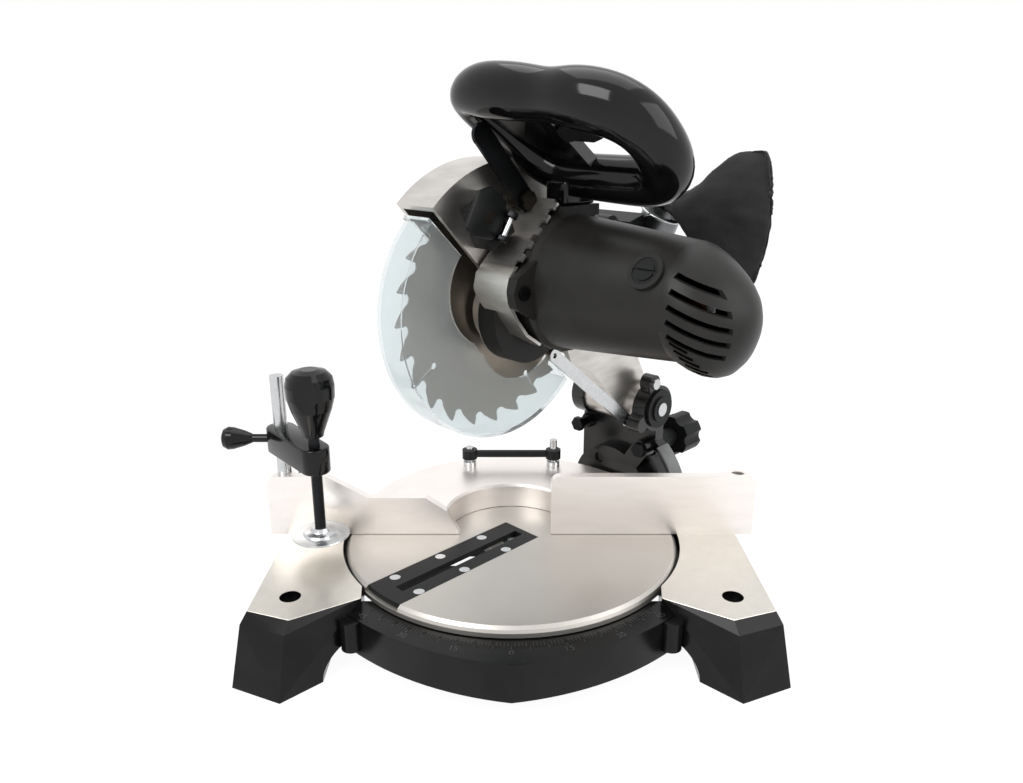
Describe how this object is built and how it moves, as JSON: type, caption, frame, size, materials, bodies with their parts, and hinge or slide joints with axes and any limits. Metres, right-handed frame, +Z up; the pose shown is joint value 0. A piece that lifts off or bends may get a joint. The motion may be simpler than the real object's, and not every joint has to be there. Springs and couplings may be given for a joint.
{
  "type": "mitre saw",
  "caption": "Compound mitre saw with a swivelling table, tilting chop head, D-handle, dust bag, fence and screw clamp.",
  "frame": {"origin": "on the bench under the axis on which the turntable swivels", "axes": "+X to the right along the fence, +Y to the rear, +Z up"},
  "size_m": [0.5055, 0.3589, 0.4734],
  "materials": {
    "black_paint": "satin black paint on a casting",
    "cast_alloy": "bare cast and machined aluminium",
    "black_steel": "blackened steel",
    "black_plastic": "matte black plastic",
    "black_gloss": "glossy black plastic",
    "bright_steel": "bright zinc-plated steel",
    "blade_steel": "ground steel",
    "clear_plastic": "clear moulded plastic",
    "grey_plate": "grey scale plate",
    "brass": "brass",
    "copper": "copper windings and laminations",
    "bag_cloth": "black woven cloth"
  },
  "bodies": {
    "base": {"base": "black_paint", "fence": "cast_alloy", "fence_screws": "black_steel", "rail_bar": "black_plastic", "rail_posts": "bright_steel", "socket_screw": "black_plastic", "pivot_bolt": "bright_steel"},
    "turntable": {"turntable": "cast_alloy", "kerf_insert": "black_plastic", "insert_screws": "bright_steel", "tilt_plate": "black_paint", "tilt_bolts": "black_steel", "tilt_pin": "bright_steel", "tilt_stud": "bright_steel"},
    "tilt_knob": {"tilt_knob": "black_plastic"},
    "bracket": {"tilt_housing": "black_paint", "tilt_scale": "grey_plate", "stop_screw": "bright_steel", "chop_pin": "bright_steel", "hub_caps": "black_plastic"},
    "head": {"head_casting": "cast_alloy", "motor_housing": "black_gloss", "motor_cover": "black_plastic", "motor_screws": "bright_steel", "brush_caps": "black_plastic", "stator": "copper", "bearings": "bright_steel", "handle": "black_gloss", "switch_block": "black_plastic", "latch_block": "black_plastic", "latch_bolt": "brass", "dust_chute": "black_plastic", "dust_clip": "bright_steel", "dust_bag": "bag_cloth"},
    "blade": {"blade": "blade_steel", "arbor": "bright_steel", "flanges": "bright_steel", "arbor_bolt": "black_steel", "driven_gear": "bright_steel"},
    "armature": {"armature": "copper", "pinion": "bright_steel", "fan": "black_plastic"},
    "lower_guard": {"lower_guard": "clear_plastic"},
    "guard_link": {"guard_link": "bright_steel"},
    "release_lever": {"release_lever": "black_steel"},
    "trigger": {"trigger": "black_plastic"},
    "clamp_post": {"clamp_rod": "bright_steel"},
    "clamp_arm": {"clamp_arm": "black_paint"},
    "clamp_lock": {"clamp_lock": "black_plastic"},
    "clamp_pad": {"clamp_pad": "bright_steel"},
    "clamp_spindle": {"clamp_spindle": "black_steel", "clamp_knob": "black_plastic"}
  },
  "joints": [
    {"name": "mitre_swivel", "type": "hinge", "parent": "base", "child": "turntable", "pos_m": [0, 0, 0.062], "axis": [0, 0, 1], "range_deg": [0, 90]},
    {"name": "bevel_tilt", "type": "hinge", "parent": "turntable", "child": "bracket", "pos_m": [0, 0, 0.062], "axis": [-0.7071, -0.7071, 0], "range_deg": [0, 45]},
    {"name": "tilt_lock", "type": "hinge", "parent": "turntable", "child": "tilt_knob", "pos_m": [0.17852, 0.12554, 0.11755], "axis": [0.7071, 0.7071, 0], "range_deg": [0, 180]},
    {"name": "chop", "type": "hinge", "parent": "bracket", "child": "head", "pos_m": [0.11597, 0.11597, 0.162], "axis": [0.7071, -0.7071, 0], "range_deg": [0, 35], "stiffness_Nm_per_rad": 6, "springref_deg": -114.59},
    {"name": "blade_spin", "type": "hinge", "parent": "head", "child": "blade", "pos_m": [-0.01556, -0.01556, 0.29], "axis": [0.7071, -0.7071, 0], "continuous": true},
    {"name": "armature_spin", "type": "hinge", "parent": "head", "child": "armature", "pos_m": [0.00416, 0.00416, 0.316], "axis": [0.7071, -0.7071, 0], "continuous": true},
    {"name": "guard_swing", "type": "hinge", "parent": "head", "child": "lower_guard", "pos_m": [-0.01556, -0.01556, 0.29], "axis": [0.7071, -0.7071, 0], "range_deg": [-143, 0]},
    {"name": "link_swing", "type": "hinge", "parent": "bracket", "child": "guard_link", "pos_m": [0.11879, 0.07778, 0.15], "axis": [0.7071, -0.7071, 0], "range_deg": [0, 41]},
    {"name": "lever_press", "type": "hinge", "parent": "head", "child": "release_lever", "pos_m": [0.01096, -0.04207, 0.382], "axis": [0.7071, -0.7071, 0], "range_deg": [0, 12], "stiffness_Nm_per_rad": 0.6, "springref_deg": -11.46},
    {"name": "trigger_pull", "type": "hinge", "parent": "head", "child": "trigger", "pos_m": [0.06375, -0.10454, 0.44084], "axis": [0.5, 0.5, 0.7071], "range_deg": [0, 7], "stiffness_Nm_per_rad": 0.5, "springref_deg": -11.46},
    {"name": "clamp_swing", "type": "hinge", "parent": "base", "child": "clamp_post", "pos_m": [-0.217, 0.011, 0.1], "axis": [0, 0, 1], "range_deg": [-60, 5]},
    {"name": "clamp_slide", "type": "slide", "parent": "clamp_post", "child": "clamp_arm", "axis": [0, 0, 1], "range_m": [-0.01, 0.045]},
    {"name": "clamp_lock_turn", "type": "hinge", "parent": "clamp_arm", "child": "clamp_lock", "pos_m": [-0.246, 0.011, 0.157], "axis": [-1, 0, 0], "range_deg": [0, 180]},
    {"name": "pad_slide", "type": "slide", "parent": "clamp_arm", "child": "clamp_pad", "axis": [0, 0, 1], "range_m": [-0.009, 0.03]},
    {"name": "spindle_turn", "type": "hinge", "parent": "clamp_pad", "child": "clamp_spindle", "pos_m": [-0.174, -0.04, 0.15], "axis": [0, 0, 1], "range_deg": [-1081, 3601]}
  ],
  "couplings": [
    {"joint": "armature_spin", "follows": "blade_spin", "ratio": -5.7778},
    {"joint": "guard_swing", "follows": "chop", "ratio": -4.05},
    {"joint": "link_swing", "follows": "chop", "ratio": 1.15},
    {"joint": "spindle_turn", "follows": "pad_slide", "rad_per_m": 2094.4}
  ]
}
